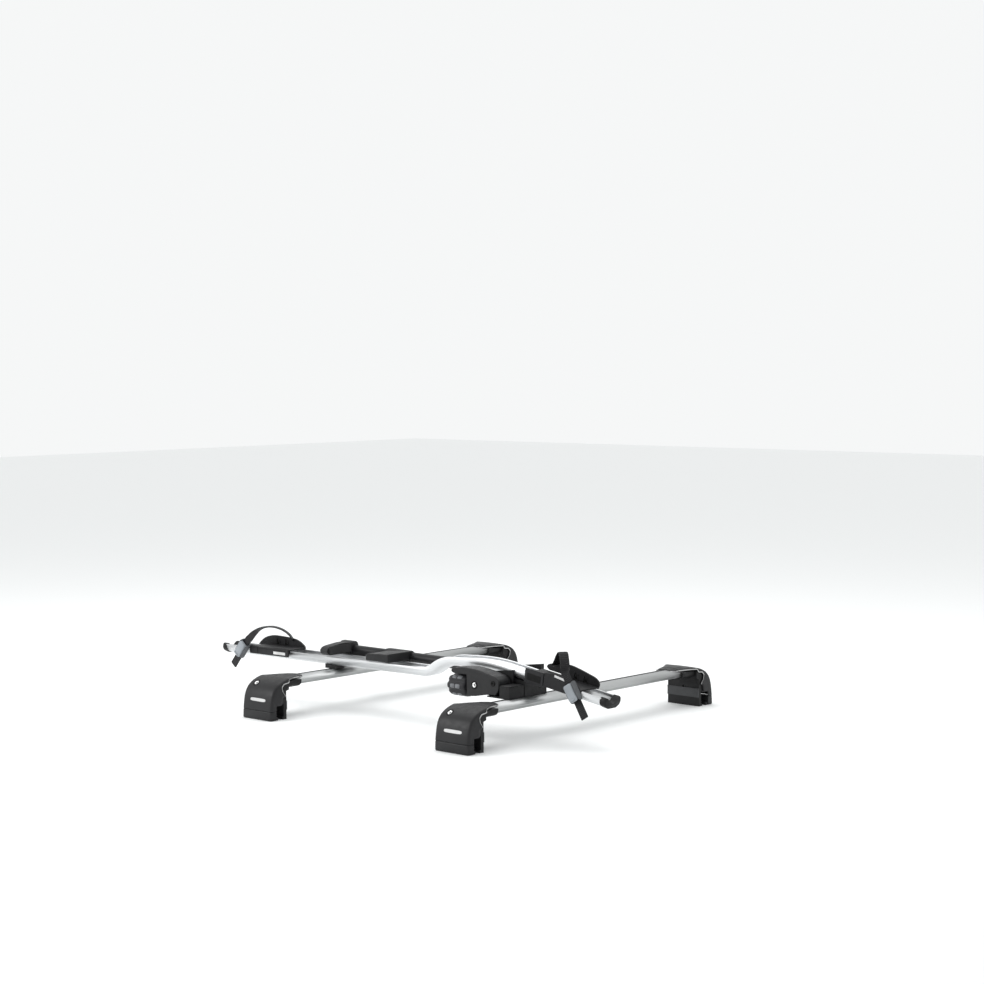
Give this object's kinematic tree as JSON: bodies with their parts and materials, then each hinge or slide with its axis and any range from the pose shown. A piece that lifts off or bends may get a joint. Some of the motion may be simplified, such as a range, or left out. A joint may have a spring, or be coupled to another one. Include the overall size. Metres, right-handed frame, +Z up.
{
  "type": "roof bicycle carrier on crossbars",
  "caption": "Pair of wing-profile roof crossbars on lockable clamp feet carrying a folded upright bicycle carrier with claw arm and strapped wheel holders.",
  "frame": {"origin": "under the middle of the whole object, on the surface its four feet stand on", "axes": "+X forward along the wheel rail, +Y to the car's left along the crossbars, +Z up"},
  "size_m": [1.4498, 1, 0.236],
  "materials": {
    "bar_aluminium": "satin anodised, faint lengthwise die lines",
    "rail_aluminium": "bright anodised",
    "soft_rubber": "matt",
    "body_plastic": "fine grain, near black",
    "zinc_steel": "zinc plated",
    "arm_black": "satin black",
    "casing_plastic": "grained charcoal",
    "knob_plastic": "grained grey",
    "lock_chrome": "bright",
    "holder_plastic": "grained",
    "strap_black": "moulded strap with ratchet teeth",
    "buckle_grey": "smooth light grey",
    "cover_plastic": "satin charcoal",
    "trim_silver": "satin"
  },
  "bodies": {
    "root": {"crossbar_front": "bar_aluminium", "crossbar_rear": "bar_aluminium", "slot_strips": "soft_rubber", "rail_pads": "soft_rubber", "inner_jaw_plates": "body_plastic", "wheel_rail": "rail_aluminium", "rail_screws": "zinc_steel", "rail_cap_front": "body_plastic", "rail_cap_rear": "body_plastic", "base_bracket": "body_plastic", "base_lids": "body_plastic", "rear_bracket": "body_plastic", "t_bolts": "zinc_steel", "clamp_nuts": "zinc_steel", "foot_body_front_right": "body_plastic", "foot_body_front_left": "body_plastic", "foot_body_rear_right": "body_plastic", "foot_body_rear_left": "body_plastic"},
    "frame_arm": {"arm_tube": "arm_black", "arm_hub": "arm_black", "pivot_shaft": "zinc_steel", "arm_housing": "casing_plastic", "housing_back": "casing_plastic", "upper_jaw": "casing_plastic", "upper_jaw_pad": "soft_rubber"},
    "knob": {"torque_knob": "knob_plastic", "knob_spindle": "zinc_steel"},
    "screw": {"screw_rod": "zinc_steel"},
    "sliding_jaw": {"lower_jaw": "casing_plastic", "lower_jaw_pad": "soft_rubber"},
    "arm_key": {"arm_lock": "lock_chrome"},
    "front_holder": {"wheel_holder_front": "holder_plastic", "holder_collar_front": "holder_plastic", "strap_front": "strap_black", "buckle_body_front": "buckle_grey"},
    "front_lever": {"buckle_lever_front": "buckle_grey"},
    "rear_holder": {"wheel_holder_rear": "holder_plastic", "strap_rear": "strap_black", "buckle_body_rear": "buckle_grey"},
    "rear_lever": {"buckle_lever_rear": "buckle_grey"},
    "cover_front_right": {"cover_front_right": "cover_plastic", "cover_trim_front_right": "trim_silver"},
    "key_front_right": {"cover_lock_front_right": "lock_chrome"},
    "claw_front_right": {"clamp_claw_front_right": "cover_plastic"},
    "bolt_front_right": {"clamp_bolt_front_right": "zinc_steel"},
    "cover_front_left": {"cover_front_left": "cover_plastic", "cover_trim_front_left": "trim_silver"},
    "key_front_left": {"cover_lock_front_left": "lock_chrome"},
    "claw_front_left": {"clamp_claw_front_left": "cover_plastic"},
    "bolt_front_left": {"clamp_bolt_front_left": "zinc_steel"},
    "cover_rear_right": {"cover_rear_right": "cover_plastic", "cover_trim_rear_right": "trim_silver"},
    "key_rear_right": {"cover_lock_rear_right": "lock_chrome"},
    "claw_rear_right": {"clamp_claw_rear_right": "cover_plastic"},
    "bolt_rear_right": {"clamp_bolt_rear_right": "zinc_steel"},
    "cover_rear_left": {"cover_rear_left": "cover_plastic", "cover_trim_rear_left": "trim_silver"},
    "key_rear_left": {"cover_lock_rear_left": "lock_chrome"},
    "claw_rear_left": {"clamp_claw_rear_left": "cover_plastic"},
    "bolt_rear_left": {"clamp_bolt_rear_left": "zinc_steel"}
  },
  "joints": [
    {"name": "cover_open_front_right", "type": "hinge", "parent": "root", "child": "cover_front_right", "pos_m": [0.446, -0.374, 0.1095], "axis": [-1, 0, 0], "range_deg": [0, 70]},
    {"name": "lock_turn_front_right", "type": "hinge", "parent": "cover_front_right", "child": "key_front_right", "pos_m": [0.417, -0.472, 0.0946], "axis": [0, -0.6018, 0.7986], "range_deg": [0, 90]},
    {"name": "claw_slide_front_right", "type": "slide", "parent": "root", "child": "claw_front_right", "axis": [0, -1, 0], "range_m": [0, 0.007]},
    {"name": "clamp_bolt_turn_front_right", "type": "hinge", "parent": "claw_front_right", "child": "bolt_front_right", "pos_m": [0.446, -0.46, 0.052], "axis": [0, -1, 0], "range_deg": [0, 2525]},
    {"name": "cover_open_front_left", "type": "hinge", "parent": "root", "child": "cover_front_left", "pos_m": [0.446, 0.374, 0.1095], "axis": [1, 0, 0], "range_deg": [0, 70]},
    {"name": "lock_turn_front_left", "type": "hinge", "parent": "cover_front_left", "child": "key_front_left", "pos_m": [0.417, 0.472, 0.0946], "axis": [0, 0.6018, 0.7986], "range_deg": [0, 90]},
    {"name": "claw_slide_front_left", "type": "slide", "parent": "root", "child": "claw_front_left", "axis": [0, 1, 0], "range_m": [0, 0.007]},
    {"name": "clamp_bolt_turn_front_left", "type": "hinge", "parent": "claw_front_left", "child": "bolt_front_left", "pos_m": [0.446, 0.46, 0.052], "axis": [0, 1, 0], "range_deg": [0, 2525]},
    {"name": "cover_open_rear_right", "type": "hinge", "parent": "root", "child": "cover_rear_right", "pos_m": [-0.278, -0.374, 0.1095], "axis": [-1, 0, 0], "range_deg": [0, 70]},
    {"name": "lock_turn_rear_right", "type": "hinge", "parent": "cover_rear_right", "child": "key_rear_right", "pos_m": [-0.307, -0.472, 0.0946], "axis": [0, -0.6018, 0.7986], "range_deg": [0, 90]},
    {"name": "claw_slide_rear_right", "type": "slide", "parent": "root", "child": "claw_rear_right", "axis": [0, -1, 0], "range_m": [0, 0.007]},
    {"name": "clamp_bolt_turn_rear_right", "type": "hinge", "parent": "claw_rear_right", "child": "bolt_rear_right", "pos_m": [-0.278, -0.46, 0.052], "axis": [0, -1, 0], "range_deg": [0, 2525]},
    {"name": "cover_open_rear_left", "type": "hinge", "parent": "root", "child": "cover_rear_left", "pos_m": [-0.278, 0.374, 0.1095], "axis": [1, 0, 0], "range_deg": [0, 70]},
    {"name": "lock_turn_rear_left", "type": "hinge", "parent": "cover_rear_left", "child": "key_rear_left", "pos_m": [-0.307, 0.472, 0.0946], "axis": [0, 0.6018, 0.7986], "range_deg": [0, 90]},
    {"name": "claw_slide_rear_left", "type": "slide", "parent": "root", "child": "claw_rear_left", "axis": [0, 1, 0], "range_m": [0, 0.007]},
    {"name": "clamp_bolt_turn_rear_left", "type": "hinge", "parent": "claw_rear_left", "child": "bolt_rear_left", "pos_m": [-0.278, 0.46, 0.052], "axis": [0, 1, 0], "range_deg": [0, 2525]},
    {"name": "arm_fold", "type": "hinge", "parent": "root", "child": "frame_arm", "pos_m": [0.398, -0.21, 0.142], "axis": [0, 1, 0], "range_deg": [0, 80]},
    {"name": "knob_turn", "type": "hinge", "parent": "frame_arm", "child": "knob", "pos_m": [0.238, -0.2715, 0.124], "axis": [1, 0, 0], "range_deg": [-1205, 6005]},
    {"name": "screw_turn", "type": "hinge", "parent": "frame_arm", "child": "screw", "pos_m": [0, -0.15, 0.152], "axis": [1, 0, 0], "range_deg": [-1205, 6005]},
    {"name": "jaw_slide", "type": "slide", "parent": "frame_arm", "child": "sliding_jaw", "axis": [-1, 0, 0], "range_m": [-0.02, 0.1]},
    {"name": "arm_lock_turn", "type": "hinge", "parent": "frame_arm", "child": "arm_key", "pos_m": [0.333, -0.294, 0.132], "axis": [0, -1, 0], "range_deg": [0, 90]},
    {"name": "front_holder_slide", "type": "slide", "parent": "root", "child": "front_holder", "axis": [0.9881, 0, -0.1538], "range_m": [-0.002, 0.012]},
    {"name": "rear_holder_slide", "type": "slide", "parent": "root", "child": "rear_holder", "axis": [1, 0, 0.01], "range_m": [-0.1, 0.005]},
    {"name": "front_buckle_open", "type": "hinge", "parent": "front_holder", "child": "front_lever", "pos_m": [0.62324, -0.262, 0.15457], "axis": [-0.8572, 0, -0.515], "range_deg": [0, 50]},
    {"name": "rear_buckle_open", "type": "hinge", "parent": "rear_holder", "child": "rear_lever", "pos_m": [-0.60607, -0.262, 0.14902], "axis": [-0.766, 0, 0.6428], "range_deg": [0, 50]}
  ],
  "couplings": [
    {"joint": "clamp_bolt_turn_front_right", "follows": "claw_slide_front_right", "rad_per_m": 6283.2},
    {"joint": "clamp_bolt_turn_front_left", "follows": "claw_slide_front_left", "rad_per_m": 6283.2},
    {"joint": "clamp_bolt_turn_rear_right", "follows": "claw_slide_rear_right", "rad_per_m": 6283.2},
    {"joint": "clamp_bolt_turn_rear_left", "follows": "claw_slide_rear_left", "rad_per_m": 6283.2},
    {"joint": "screw_turn", "follows": "jaw_slide", "rad_per_m": 1047.2},
    {"joint": "knob_turn", "follows": "jaw_slide", "rad_per_m": 1047.2}
  ]
}
